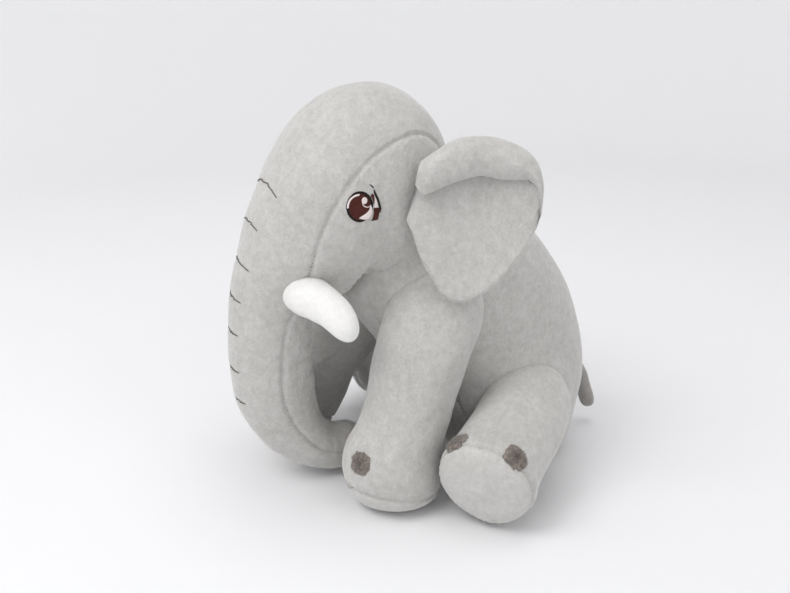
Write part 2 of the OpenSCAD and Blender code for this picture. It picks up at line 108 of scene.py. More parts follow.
class Tube:
    """A closed tube of cloth. Rows: x, y, z of the centre, lean, half depth, half width, fullness,
    then one angle per seam. Angle 0 lies along the frame's first direction."""

    def __init__(self, rows, counts, axes=None, pull=0.75):
        self.rows = np.array(rows, float)
        self.counts = counts
        self.axes = axes
        self.pull = pull
        r = self.rows
        step = np.linalg.norm(np.diff(r[:, :3], axis=0), axis=1)
        step = np.sqrt(step**2 + np.diff(r[:, 4]) ** 2) + 0.3
        self.at = np.concatenate([[0], np.cumsum(step)])
        self.length = self.at[-1]

    def angles(self, r, even):
        seams = r[:, 7:]
        parts = []
        for k, n in enumerate(self.counts):
            a = seams[:, k]
            b = seams[:, k + 1] if k + 1 < seams.shape[1] else seams[:, 0] + 360
            f = np.arange(n) / n if even else crowd(n, self.pull)
            parts.append(a[:, None] + (b - a)[:, None] * f)
        return np.radians(np.concatenate(parts, axis=1))

    def grid(self, s, even=False):
        """Points at lengths s along the tube, in millimetres: rings by columns by 3."""
        r = smooth(self.at, self.rows, s)
        a = self.angles(r, even)
        c, d = np.cos(a), np.sin(a)
        full = np.clip(r[:, 6], 0.5, 1.2)[:, None]
        d = np.sign(d) * np.abs(d) ** full
        if self.axes is None:
            lean = np.radians(r[:, 3])
            up = np.stack([0 * lean, np.cos(lean), np.sin(lean)], 1)
            side = np.array([1.0, 0, 0])[None]
        else:
            up, side = self.axes[0][None], self.axes[1][None]
        return (r[:, None, :3] + (r[:, 4, None] * c)[..., None] * up[:, None]
                + (r[:, 5, None] * d)[..., None] * side[:, None])

    def seam_column(self, k):
        return sum(self.counts[:k])


def normals_of(p):
    """Outward normals of a closed grid of points."""
    around = np.roll(p, -1, axis=1) - np.roll(p, 1, axis=1)
    n = np.cross(around, np.gradient(p, axis=0))
    n /= np.linalg.norm(n, axis=2, keepdims=True) + 1e-9
    return -n if ((p - p.mean(axis=1, keepdims=True)) * n).sum() < 0 else n


def run_of(line):
    """Length along a line of points, at each point."""
    return np.concatenate([[0], np.cumsum(np.linalg.norm(np.diff(line, axis=0), axis=1))])


def nearest(points, line):
    """Distance of each point to a line of points, and how far along the line that is."""
    flat = points.reshape(-1, 3)
    run = run_of(line)
    best, where = np.full(len(flat), 1e9), np.zeros(len(flat))
    near = np.abs(flat - line.mean(0)).max(1) < np.ptp(line, axis=0).max() + 30
    idx = np.flatnonzero(near)
    for chunk in np.array_split(idx, max(1, len(idx) // 4000)):
        if len(chunk):
            d = np.linalg.norm(flat[chunk, None] - line[None], axis=2)
            k = d.argmin(1)
            best[chunk], where[chunk] = d[np.arange(len(chunk)), k], run[k]
    return best.reshape(points.shape[:2]), where.reshape(points.shape[:2])


def resample(line, step=1.0):
    run = run_of(line)
    n = max(3, int(run[-1] / step))
    q = np.linspace(0, run[-1], n)
    return np.stack([np.interp(q, run, line[:, k]) for k in range(3)], 1)


def lumps(p, size, seed):
    """Slow random swell between -1 and 1 at each point."""
    flat = p.reshape(-1, 3) / size
    off = Vector((seed * 7.3, seed * 3.1, seed * 5.7))
    return np.array([noise.noise(Vector(q) + off) for q in flat]).reshape(p.shape[:2])


def press(p, n, line, depth, width, pucker=0.0, pitch=5.0, seed=1, taper=False):
    """Presses a seam or wrinkle into a grid along a line; puckers fan out from its stitches."""
    d, s = nearest(p, resample(line))
    cut = depth * np.exp(-((d / width) ** 2))
    if taper:
        run = s.max()
        ends = np.clip(np.minimum(s, run - s) / (0.3 * run + 1e-6), 0, 1)
        cut = cut * (0.15 + 0.85 * ends)
    if pucker:
        wave = np.cos(2 * np.pi * s / pitch + 2 * np.sin(s / 9 + seed))
        fan = np.exp(-((d / (4.5 * width)) ** 2)) * (1 - np.exp(-((d / width) ** 2)))
        cut = cut + pucker * wave * fan
    return p - n * cut[..., None]


# ---------------------------------------------------------------- cloth simulation
SIM = {"mesh": [], "slices": {}}


def coarse(name, tube, rings, every=3):
    """Registers a coarse copy of a tube for the one pressure simulation."""
    s = np.linspace(0, tube.length, rings)
    few = Tube(tube.rows, [max(4, c // every) for c in tube.counts], tube.axes)
    p = few.grid(s, even=True)
    SIM["mesh"].append((name, s, few, p))


def tube_faces(rings, cols, base=0):
    faces = []
    for i in range(rings - 1):
        for j in range(cols):
            k = (j + 1) % cols
            faces.append((base + i * cols + j, base + i * cols + k,
                          base + (i + 1) * cols + k, base + (i + 1) * cols + j))
    return faces


def disc_faces(bands, around):
    """Faces of a disc: a fan about point 0, then bands of quads out from it."""
    faces = [(0, 1 + j, 1 + (j + 1) % around) for j in range(around)]
    for i in range(bands):
        a, b = 1 + i * around, 1 + (i + 1) * around
        faces += [(a + j, b + j, b + (j + 1) % around, a + (j + 1) % around)
                  for j in range(around)]
    return faces


def simulate(cap=3.0, frames=16):
    """Blows every registered tube up a little as cloth; seam lines shrink, so the cloth puckers."""
    verts, faces, seam = [], [], []
    for name, s, few, p in SIM["mesh"]:
        base = len(verts)
        rings, cols = p.shape[:2]
        SIM["slices"][name] = (base, rings, cols)
        verts += [tuple(q * MM * 10) for q in p.reshape(-1, 3)]
        faces += tube_faces(rings, cols, base)
        faces.append(tuple(range(base, base + cols)))
        faces.append(tuple(range(base + rings * cols - 1, base + (rings - 1) * cols - 1, -1)))
        starts = {few.seam_column(k) for k in range(len(few.counts))}
        seam += [base + i * cols + j for i in range(rings) for j in starts]
    mesh = bpy.data.meshes.new("sim")
    mesh.from_pydata(verts, [], faces)
    obj = placed("sim", mesh)
    group = obj.vertex_groups.new(name="seams")
    group.add(seam, 1.0, "REPLACE")
    cloth = obj.modifiers.new("Cloth", "CLOTH")
    c = cloth.settings
    c.quality, c.mass, c.air_damping = 6, 0.3, 5
    c.tension_stiffness = c.compression_stiffness = 12
    c.shear_stiffness, c.bending_stiffness = 6, 0.4
    c.use_pressure, c.uniform_pressure_force = True, 2.5
    c.vertex_group_shrink, c.shrink_min, c.shrink_max = "seams", -0.03, 0.16
    c.effector_weights.gravity = 0
    cloth.point_cache.frame_start, cloth.point_cache.frame_end = 1, frames
    for f in range(1, frames + 1):
        bpy.context.scene.frame_set(f)
    got = obj.evaluated_get(bpy.context.evaluated_depsgraph_get()).to_mesh()
    co = np.array([v.co for v in got.vertices], float) / (MM * 10)
    rest = np.array(verts) / (MM * 10)
    move = co - rest
    size = np.linalg.norm(move, axis=1, keepdims=True)
    move *= np.minimum(1, cap / (size + 1e-9))
    bpy.context.scene.frame_set(1)
    bpy.data.objects.remove(obj)
    for name, s, few, p in SIM["mesh"]:
        base, rings, cols = SIM["slices"][name]
        SIM[name] = (s, few, move[base:base + rings * cols].reshape(rings, cols, 3))


def crumple(name, tube, s, p):
    """Adds the simulated movement to a fine grid of the same tube, less its overall swelling."""
    if name not in SIM:
        return p
    sc, few, move = SIM[name]
    ease = np.clip(np.minimum(sc, sc[-1] - sc) / 12, 0, 1)[:, None, None]
    move = move * ease
    even = [k / n + i for i, n in enumerate(few.counts) for k in range(n)]
    fine = np.concatenate([crowd(n, tube.pull) + i for i, n in enumerate(tube.counts)])
    at = np.array(even[-2:] + even + even[:3]) + np.array(
        [-len(few.counts)] * 2 + [0] * len(even) + [len(few.counts)] * 3)
    wrapped = np.concatenate([move[:, -2:], move, move[:, :3]], 1)
    rings = smooth(sc, wrapped, s)
    out = smooth(at, rings.transpose(1, 0, 2), fine).transpose(1, 0, 2)
    n = normals_of(p)
    swell = (out * n).sum(2)
    return p + out - n * swell.mean()


# ---------------------------------------------------------------- meshes
def make(name, verts, faces, material):
    """A smooth-shaded mesh object from points in millimetres."""
    mesh = bpy.data.meshes.new(name)
    mesh.from_pydata([tuple(v) for v in np.asarray(verts, float) * MM], [], faces)
    mesh.validate()
    obj = placed(name, mesh)
    mesh.materials.append(material)
    mesh.polygons.foreach_set("use_smooth", [True] * len(mesh.polygons))
    return obj


def tube_piece(name, p, n, first, last, material, close=(False, False)):
    """One piece cut from rings first to last of a fine grid, so that neighbours share their edge."""
    q, nq = p[first:last + 1], n[first:last + 1]
    rings, cols = q.shape[:2]
    verts, vn = list(q.reshape(-1, 3)), list(nq.reshape(-1, 3))
    faces = tube_faces(rings, cols)
    for end, ring in ((close[0], 0), (close[1], rings - 1)):
        if end:
            verts.append(q[ring].mean(0))
            tip = nq[ring].mean(0)
            out = q[ring].mean(0) - q[1 if ring == 0 else ring - 1].mean(0)
            vn.append(out / (np.linalg.norm(out) + 1e-9) if np.linalg.norm(tip) < 0.2 else tip)
            c = len(verts) - 1
            for j in range(cols):
                a, b = ring * cols + j, ring * cols + (j + 1) % cols
                faces.append((b, a, c) if ring == 0 else (a, b, c))
    verts, vn = np.array(verts), np.array(vn)
    vn /= np.linalg.norm(vn, axis=1, keepdims=True) + 1e-9
    a, b, d = (verts[faces[cols * (rings // 2)][k]] for k in (0, 1, 3))
    if np.dot(np.cross(b - a, d - a), vn[faces[cols * (rings // 2)][0]]) < 0:
        faces = [tuple(reversed(f)) for f in faces]
    obj = make(name, verts, faces, material)
    obj.data.normals_split_custom_set_from_vertices([tuple(v) for v in vn])
    return obj


def stitches(name, line, out, material, pitch=2.4, length=1.6, thick=0.28):
    """A row of short thread capsules along a line; out holds the surface normal at each point."""
    run = run_of(line)
    verts, faces = [], []
    sides, lobes = 6, ((-0.5, 0.35), (-0.36, 0.85), (0, 1), (0.36, 0.85), (0.5, 0.35))
    for mid in np.arange(pitch * 0.6, run[-1] - pitch * 0.4, pitch):
        c = np.array([np.interp(mid, run, line[:, k]) for k in range(3)])
        e = np.array([np.interp(mid + 0.6, run, line[:, k]) for k in range(3)])
        n = np.array([np.interp(mid, run, out[:, k]) for k in range(3)])
        n /= np.linalg.norm(n) + 1e-9
        t = e - c
        t /= np.linalg.norm(t) + 1e-9
        b = np.cross(n, t)
        base = len(verts)
        for x, r in lobes:
            for j in range(sides):
                a = 2 * math.pi * j / sides
                bow = -2.2 * thick * (2 * x) ** 2
                verts.append(c + t * x * length + n * (bow + r * thick * math.sin(a))
                             + b * r * thick * 1.3 * math.cos(a))
        for i in range(len(lobes) - 1):
            for j in range(sides):
                k = (j + 1) % sides
                faces.append((base + i * sides + j, base + i * sides + k,
                              base + (i + 1) * sides + k, base + (i + 1) * sides + j))
        faces.append(tuple(base + j for j in reversed(range(sides))))
        faces.append(tuple(base + (len(lobes) - 1) * sides + j for j in range(sides)))
    return make(name, verts, faces, material)


# ---------------------------------------------------------------- materials
# Half width of the colour ramp about its middle, and what brings its input into 0 to 1
SPREAD, RANGE = 0.42, 4.0


def material(name, colour, deep, rough=0.95, sheen=0.6, grain=1.0, grain_size=900, mottle=40,
             patches=0.6, depth=0.0006, streak=None):
    """Short pile: slow mottling where the pile lies different ways, fine speckle, bump and sheen."""
    m = bpy.data.materials.new(name)
    m.use_nodes = True
    t = m.node_tree
    n, link = t.nodes, t.links.new
    b = n["Principled BSDF"]
    b.inputs["Roughness"].default_value = rough
    b.inputs["Specular IOR Level"].default_value = 0.12
    b.inputs["Sheen Weight"].default_value = sheen
    b.inputs["Sheen Roughness"].default_value = 0.45
    b.inputs["Sheen Tint"].default_value = (1, 0.99, 0.97, 1)
    co = n.new("ShaderNodeTexCoord").outputs["Object"]

    def noise_at(scale, detail, rough_, distort=0.0):
        q = n.new("ShaderNodeTexNoise")
        q.inputs["Scale"].default_value = scale
        q.inputs["Detail"].default_value = detail
        q.inputs["Roughness"].default_value = rough_
        q.inputs["Distortion"].default_value = distort
        link(co, q.inputs["Vector"])
        return q.outputs["Fac"]

    def maths(operation, *terms):
        q = n.new("ShaderNodeMath")
        q.operation = operation
        for socket, term in zip(q.inputs, terms):
            if isinstance(term, (int, float)):
                socket.default_value = term
            else:
                link(term, socket)
        return q.outputs[0]

    slow = noise_at(mottle, 3, 0.55, 0.6)
    fine = noise_at(grain_size, 2, 0.6)
    tuft = noise_at(grain_size * 0.32, 2, 0.5)
    pile = maths("MULTIPLY_ADD", fine, grain, tuft)
    mix = maths("MULTIPLY_ADD", slow, patches, pile)
    middle = 0.5 * (1 + grain + patches)
    ramp = n.new("ShaderNodeValToRGB")
    for element, at, shade in zip(ramp.color_ramp.elements, (-SPREAD, SPREAD), (deep, colour)):
        element.position = (middle + at) / RANGE
        element.color = (*shade, 1)
    link(maths("DIVIDE", mix, RANGE), ramp.inputs["Fac"])
    link(ramp.outputs["Color"], b.inputs["Base Color"])
    height = maths("ADD", fine, tuft)
    if streak:
        wave = n.new("ShaderNodeTexWave")
        wave.inputs["Scale"].default_value = streak
        wave.inputs["Distortion"].default_value = 1.5
        link(co, wave.inputs["Vector"])
        height = maths("ADD", height, wave.outputs["Fac"])
    bump = n.new("ShaderNodeBump")
    bump.inputs["Strength"].default_value = 0.55
    bump.inputs["Distance"].default_value = depth
    link(height, bump.inputs["Height"])
    link(bump.outputs["Normal"], b.inputs["Normal"])
    return m


PLUSH = material("plush", (0.60, 0.592, 0.570), (0.44, 0.432, 0.412), grain_size=700,
                 depth=0.0008)
SOLE = material("sole_plush", (0.63, 0.62, 0.60), (0.50, 0.49, 0.468), grain_size=800)
IVORY = material("tusk_plush", (0.90, 0.895, 0.88), (0.80, 0.79, 0.77), sheen=0.4)
NAIL = material("toenail_pile", (0.36, 0.315, 0.28), (0.15, 0.125, 0.105), sheen=0.5,
                grain_size=1300, patches=0.3, depth=0.0012)
TAIL_M = material("tail_plush", (0.38, 0.365, 0.345), (0.30, 0.285, 0.27))
THREAD = material("seam_thread", (0.20, 0.19, 0.18), (0.14, 0.13, 0.12), sheen=0.1, rough=0.7,
                  streak=900)
PALE_THREAD = material("pale_thread", (0.52, 0.50, 0.47), (0.42, 0.40, 0.38), sheen=0.2, streak=900)
BROWN_THREAD = material("eye_brown_thread", (0.095, 0.024, 0.017), (0.045, 0.012, 0.009),
                        rough=0.5, sheen=0.15, streak=520, grain_size=1500, depth=0.0004)
BLACK_THREAD = material("eye_black_thread", (0.022, 0.014, 0.012), (0.010, 0.006, 0.005),
                        rough=0.5, sheen=0.15, streak=520, depth=0.0004)
WHITE_THREAD = material("eye_white_thread", (0.86, 0.78, 0.76), (0.74, 0.66, 0.64),
                        rough=0.5, sheen=0.2, streak=520, depth=0.0004)


# ---------------------------------------------------------------- body
def row(x, y, z, lean, depth, width, full, *seams):
    return (x, y, z, lean, depth, width, full) + seams


def spine(rows, *seam_sets):
    """Midline rows (y, z, lean, half depth, half width, fullness) with their seam angles."""
    return [row(0, *r, *[s[i] for s in seam_sets]) for i, r in enumerate(rows)]


BODY_ROWS = [
    (0, 0.3, 0, 1.0, 1.0, 1), (0, 0.2, 0, 16, 18, 1), (0, 0.3, 0, 29, 33, 1),
    (-1, 2.2, 0, 37, 41, 1), (-3, 9, 1, 44, 48, 1), (-7, 26, 6, 53, 54, 0.92),
    (-9.5, 48, 12, 59.5, 56, 0.9), (-15, 74, 19, 62, 53, 0.9), (-30, 101, 26, 64, 49, 0.9),
    (-46.4, 125.3, 32, 61.8, 46, 0.95), (-64.5, 143, 33, 56, 42, 1),
    (-78, 155, 38, 49.5, 38, 1), (-86, 164, 44, 42, 34, 1), (-89, 175, 48, 27, 26, 1),
    (-94, 180, 48, 14, 14, 1),
    (-96, 182, 48, 1, 1, 1),
]
CHEST_EDGE = [125, 125, 125, 126, 127, 128, 131, 136, 141, 145, 148, 149, 150, 150, 150, 150]
body = Tube(spine(BODY_ROWS, [0] * 16, CHEST_EDGE, [360 - a for a in CHEST_EDGE]), [44, 22, 44])

# ---------------------------------------------------------------- head and trunk, one tube
HEAD_W = 51


def ends(o, i, width, full):
    """A section from its crown or front point o to its neck or underside point i, both (y, z)."""
    o, i = np.array(o, float), np.array(i, float)
    d = o - i
    lean = math.degrees(math.atan2(d[1], d[0])) % 360
    return (*((o + i) / 2), lean, np.linalg.norm(d) / 2, width, full)


def ball(centre, lean, radius, width, phi):
    """A section of a ball before its middle, so that a tube starts round."""
    s, c = math.sin(math.radians(phi)), math.cos(math.radians(phi))
    a = math.radians(lean)
    return (centre[1] + radius * s * math.sin(a), centre[2] - radius * s * math.cos(a), lean,
            radius * c, width * c, 1)


HEAD_ROWS = [ball(NECK, 45, 40, 38, p) for p in (88, 70, 50, 30, 14)] + [
    ends((-48, 194), (-105, 135), 40, 1),
    ends((-50, 208), (-107, 137), 44, 1),
    ends((-57, 224), (-109, 138), 47.5, 0.97),
    ends((-71, 241.5), (-113, 138.5), HEAD_W - 1.5, 0.93),
    ends((-93, 252), (-118, 131), HEAD_W - 0.5, 0.9),
    ends((-117, 249.5), (-124, 128.5), HEAD_W, 0.88),
    ends((-139.5, 236.5), (-130, 128), HEAD_W - 2, 0.88),
    ends((-157, 213.5), (-135.5, 129), HEAD_W - 6, 0.9),
    ends((-170, 188.5), (-139.5, 129.5), HEAD_W - 12, 0.95),
    ends((-180.5, 162), (-142, 129.5), HEAD_W - 19, 1),
    ends((-187.5, 138), (-142.5, 124), 27, 1),
    (-166, 116, 174, 24.6, 24, 1),
    (-167, 98, 181, 24.6, 23.4, 1),
    (-166.5, 80, 187, 24.4, 22.8, 1),
    (-164, 62, 195, 24.2, 22.4, 1),
    (-157.5, 44.5, 209, 21.8, 20.5, 1),
    (-148, 29.5, 226, 18.8, 18.4, 1),
    (-135.5, 19, 247, 16.2, 16.4, 1),
    (-122, 15.2, 266, 14.6, 14.8, 1),
    (-111, 15.2, 272, 13.2, 13.4, 1),
    (-107, 15.3, 272, 10.6, 10.8, 1),
    (-105.6, 15.4, 272, 5.5, 5.5, 1),
    (-105.2, 15.4, 272, 0.8, 0.8, 1),
]
BROW = [22, 22, 22, 25, 29, 34, 40, 40, 46, 58, 68, 79, 92, 108, 118, 114, 99, 95, 93, 91, 93]
BROW += [96] * 7
JAW = [152, 152, 152, 151, 150, 148, 147, 146, 147, 150, 153, 155, 156, 156, 152, 144, 132, 124, 120]
JAW += [118] * 9
head = Tube(spine(HEAD_ROWS, [-a for a in BROW], BROW, JAW, [360 - a for a in JAW]),
            [46, 26, 20, 26])

# ---------------------------------------------------------------- legs
FRONT_ROWS = [row(*r, 0, 180) for r in (
    (38, -70, 141, 180, 1, 1, 1), (38, -70, 140, 180, 8, 8, 1), (39, -70, 135, 180, 19, 15, 1),
    (41, -72, 125, 180, 27.5, 22, 1), (44, -75.5, 112, 180, 31, 26.5, 1),
    (47, -83, 93, 180, 30, 26.8, 1), (49, -90, 70, 180, 28.2, 26.4, 1),
    (50.5, -95.5, 54, 180, 28.4, 26.2, 1), (52, -102.8, 38, 179, 31, 27, 0.98),
    (52.5, -104, 26, 176, 31.6, 27.8, 0.98), (52.5, -104, 15.5, 171, 30.2, 27.2, 1),
    (52.5, -104, 12.6, 169, 29.2, 26.6, 1), (52.5, -104, 9.8, 170, 28.4, 26, 1),
    (52.5, -104, 4.2, 174, 23.4, 21.5, 1), (52.5, -104, 1.4, 178, 16, 14.5, 1),
    (52.5, -104, 0.5, 180, 8, 7.5, 1), (52.5, -104, 0.4, 180, 1, 1, 1),
)]
front_leg = Tube(FRONT_ROWS, [54, 54], pull=0.5)

HIND_YAW, HIND_DROOP = 41, 15
cy, sy = math.cos(math.radians(HIND_YAW)), math.sin(math.radians(HIND_YAW))
cd, sd = math.cos(math.radians(HIND_DROOP)), math.sin(math.radians(HIND_DROOP))
HIND_N = np.array([sy * cd, -cy * cd, -sd])
HIND_S = np.array([cy, sy, 0])
HIND_U = np.cross(HIND_N, HIND_S)
SOLE_C = np.array([103, -66, 31.2])
# Stations back from the sole: [distance, radius, rise above the axis]
HIND_STATIONS = [(100, 1, 0), (99, 10, 0), (94, 18, 0), (84, 24, 0), (70, 27, 0), (52, 28, 0.5),
                 (36, 28.2, 0.8), (22, 28.2, 0.6), (11, 29, 0.2), (4, 30, 0), (0.6, 29.5, 0),
                 (-1.8, 27.8, 0), (-4.6, 22.8, 0), (-6.2, 15, 0), (-6.8, 7, 0), (-6.9, 0.8, 0)]
hind_leg = Tube([row(*(SOLE_C - HIND_N * d + HIND_U * up), 0, r, r, 1, 0, 180)
                 for d, r, up in HIND_STATIONS], [54, 54], (HIND_U, HIND_S), pull=0.5)

# ---------------------------------------------------------------- tail and tusks
TAIL_LEAN = math.radians(16)
TAIL_AXIS = np.array([0, math.sin(TAIL_LEAN), -math.cos(TAIL_LEAN)])
TAIL_OUT = np.array([0, math.cos(TAIL_LEAN), math.sin(TAIL_LEAN)])
TAIL_ROWS = [(-16, 1, -8), (-15, 4, -8), (-11, 5.8, -7), (-5, 6, -4), (2, 5.4, -1), (11, 5.1, 0),
             (20, 5.2, 0.4), (27, 5.2, 0.8), (30.5, 3.9, 1), (31.8, 1.9, 1), (32, 0.5, 1)]
tail = Tube([row(*(TAIL + TAIL_AXIS * d + TAIL_OUT * o), 0, r, r, 1, 0, 180)
             for d, r, o in TAIL_ROWS], [24, 24], (TAIL_OUT, np.array([1.0, 0, 0])))

TUSK_BASE = np.array([17, -153.5, 137.5])
TUSK_END = np.array([74.5, -135, 124.5])
# Stations along a tusk: [share of the way, radius, rise of the bow]
TUSK_STATIONS = [(0, 1, 0), (0.02, 7, 0), (0.08, 11, 0), (0.25, 12.6, 1), (0.45, 11.6, 3),
                 (0.63, 10.4, 3.8), (0.78, 9.5, 3), (0.9, 7.9, 1.2), (0.97, 5.2, -0.4),
                 (0.995, 2.4, -1.2), (1, 0.5, -1.3)]
tusk_axis = TUSK_END - TUSK_BASE
tusk_way = tusk_axis / np.linalg.norm(tusk_axis)
tusk_side = np.cross(tusk_way, (0, 0, 1.0))
tusk_side /= np.linalg.norm(tusk_side)
tusk_up = np.cross(tusk_side, tusk_way)
tusk = Tube([row(*(TUSK_BASE + tusk_axis * t + tusk_up * up), 0, r, r, 1, 20, 200)
             for t, r, up in TUSK_STATIONS], [26, 26], (tusk_up, tusk_side))

# ---------------------------------------------------------------- simulate, then fine skins
for name, tube, rings in (("body", body, 52), ("head", head, 84), ("front", front_leg, 34),
                          ("hind", hind_leg, 28)):
    coarse(name, tube, rings)
simulate()


class Skin:
    """A fine grid of one tube: its points, its ring lengths and its normals."""

    def __init__(self, name, tube, step, keep=(), lump=(0.8, 24), seed=1, mirror=False,
                 place=None):
        s = np.linspace(0, tube.length, int(tube.length / step) + 1)
        if len(keep):
            s = np.sort(np.concatenate([s] + [k + np.linspace(-3, 3, 13) for k in keep]))
            s = s[(s >= 0) & (s <= tube.length)]
        self.tube, self.s = tube, s
        self.p = crumple(name, tube, s, tube.grid(s))
        if mirror:
            self.p = self.p * (-1, 1, 1)
        if place:
            self.p = place(self.p)
        self.p = self.p + self.normals() * (lump[0] * lumps(self.p, lump[1], seed))[..., None]

    def normals(self):
        return normals_of(self.p)

    def ring(self, row):
        """The ring at a row of the tube's table; a share of a row counts too."""
        k = int(row)
        at = self.tube.at
        value = at[k] + (row - k) * ((at[k + 1] - at[k]) if k + 1 < len(at) else 0)
        return int(np.abs(self.s - value).argmin())

    def column(self, k):
        return sum(self.tube.counts[:k])

    def seam(self, k, first, last):
        """The points along seam k between two rows."""
        return self.p[self.ring(first):self.ring(last) + 1, self.column(k)]

    def press(self, line, depth, width, pucker=0.0, seed=1, taper=False):
        self.p = press(self.p, self.normals(), line, depth, width, pucker, seed=seed, taper=taper)

    def tree(self):
        rings, cols = self.p.shape[:2]
        flat = [tuple(q) for q in self.p.reshape(-1, 3)]
        tree = BVHTree.FromPolygons(flat, tube_faces(rings, cols))
        middle = Vector(self.p[rings // 2].mean(0))
        spot, normal = tree.find_nearest(middle)[:2]
        return tree, (-1 if (middle - spot).dot(normal) > 0 else 1)


def depths(points, tree, side, reach):
    """Signed distance of each point to a skin, positive outside, with the skin's normal there."""
    d = np.full(len(points), 10.0 * reach)
    m = np.zeros((len(points), 3))
    for i, q in enumerate(points):
        spot, normal, _, gap = tree.find_nearest(Vector(q), reach)
        if spot is not None:
            out = side * normal
            d[i] = gap if (Vector(q) - spot).dot(out) >= 0 else -gap
            m[i] = out
    return d, m


def soften(skin, tree, side, reach, keep=None):
    """How far a skin rises next to another one, so that the crease between them is a soft fillet."""
    n = skin.normals().reshape(-1, 3)
    flat = skin.p.reshape(-1, 3)
    k = np.full(len(flat), float(reach)) if keep is None else reach * keep(flat)
    d, m = depths(flat, tree, side, reach)
    rise = np.clip(k - np.abs(d), 0, None) ** 2 / (4 * k + 1e-6)
    both = n + m
    size = np.linalg.norm(both, axis=1, keepdims=True) + 1e-6
    both /= size
    facing = np.clip((n * m).sum(1) + 0.6, 0, 1)
    lift = rise * facing / np.clip((both * n).sum(1), 0.45, 1)
    return (both * lift[:, None]).reshape(skin.p.shape)


RIGHT_SWING = math.radians(JOINTS["shoulder_left_swing"]["range_deg"][1]
                           - JOINTS["shoulder_right_swing"]["range_deg"][1])
SHOULDER_RIGHT = SHOULDER * (-1, 1, 1)


def turn_right(v):
    """A direction of the right front leg, turned forward the way the frame has that leg."""
    v = np.asarray(v, float)
    c, s = math.cos(RIGHT_SWING), math.sin(RIGHT_SWING)
    return np.stack([v[..., 0], v[..., 1] * c + v[..., 2] * s, v[..., 2] * c - v[..., 1] * s], -1)


def swing_right(p):
    """Points of the right front leg, turned with it about the shoulder hinge."""
    return SHOULDER_RIGHT + turn_right(p - SHOULDER_RIGHT)


skins = {
    "body": Skin("body", body, 2.1, lump=(1.1, 30), seed=3),
    "head": Skin("head", head, 1.9, lump=(0.8, 26), seed=5),
    "tail": Skin("tail", tail, 1.2, lump=(0.3, 8), seed=6),
}
FRONT_SOLE_ROW, HIND_SOLE_ROW = 11, 10
for side, mirror in (("left", False), ("right", True)):
    skins["front_" + side] = Skin("front", front_leg, 2.0, keep=[front_leg.at[FRONT_SOLE_ROW]],
                                  lump=(0.8, 22), seed=11 + mirror, mirror=mirror,
                                  place=swing_right if mirror else None)
    skins["hind_" + side] = Skin("hind", hind_leg, 2.0, keep=[hind_leg.at[HIND_SOLE_ROW]],
                                 lump=(0.9, 22), seed=21 + mirror, mirror=mirror)
    skins["tusk_" + side] = Skin("tusk", tusk, 1.1, lump=(0.35, 12), seed=31 + mirror,
                                 mirror=mirror)

# Creases between the pieces become soft fillets, as stuffed cloth makes them.
MEETINGS = [("body", "front_left", 11), ("body", "front_right", 11), ("body", "hind_left", 15),
            ("body", "hind_right", 15), ("body", "head", 2.5), ("body", "tail", 3)]
rises = {name: 0 for name in skins}
trees = {name: skins[name].tree() for name in
         ("body", "head", "tail", "front_left", "front_right", "hind_left", "hind_right")}
for a, b, reach in MEETINGS:
    rises[a] = rises[a] + soften(skins[a], *trees[b], reach)
    rises[b] = rises[b] + soften(skins[b], *trees[a], reach)
FLOOR = 0.2
for name, rise in rises.items():
    skins[name].p = skins[name].p + rise
    skins[name].p[..., 2] = np.maximum(skins[name].p[..., 2], FLOOR)

# Seams and wrinkles
S = skins["body"]
body_seams = [S.seam(0, 3, 11), S.seam(1, 4, 10.5), S.seam(2, 4, 10.5)]
for k, line in enumerate(body_seams):
    S.press(line, 1.0 if k == 0 else 1.4, 1.6, 0.3, seed=k)

S = skins["head"]
BROW_TOP, JAW_LOW, TIP_ROW = 6.0, 13.4, 24.6
for k in (0, 1):
    S.press(S.seam(k, BROW_TOP, TIP_ROW), 1.5, 1.5, 0.3, seed=k)
for k in (2, 3):
    S.press(S.seam(k, 6.0, JAW_LOW), 1.4, 1.5, 0.3, seed=k)


def across(skin, row, half_angle, bend=0.0):
    """A line across the front of a tube, half_angle each side of the middle of its first panel."""
    a = np.linspace(-half_angle, half_angle, 25)
    rows = row + bend * (1 - (a / half_angle) ** 2)
    picks = []
    for angle, r in zip(a, rows):
        i = skin.ring(r)
        ring = skin.p[i]
        centre = ring.mean(0)
        tube_row = smooth(skin.tube.at, skin.tube.rows, [skin.s[i]])[0]
        lean = math.radians(tube_row[3])
        way = np.array([math.sin(math.radians(angle)),
                        math.cos(lean) * math.cos(math.radians(angle)),
                        math.sin(lean) * math.cos(math.radians(angle))])
        d = ring - centre
        d /= np.linalg.norm(d, axis=1, keepdims=True)
        picks.append(ring[(d @ way).argmax()])
    return np.array(picks)


def smoothed(line, rounds=4):
    line = line.copy()
    for _ in range(rounds):
        line[1:-1] = (line[:-2] + 2 * line[1:-1] + line[2:]) / 4
    return line


WRINKLE_ROWS = (12.7, 13.55, 14.4, 15.4, 16.6, 17.8, 18.8)
wrinkles = [smoothed(across(S, r, 26)) for r in WRINKLE_ROWS]
for k, line in enumerate(wrinkles):
    S.press(line, 1.3, 1.3, taper=True, seed=k)

FOOT_SEAMS = {}
# Folds on the thigh: [first row, last row, first column, last column]
THIGH_FOLDS = ((4.4, 5.5, 2, 17), (5.0, 6.0, 3, 14))
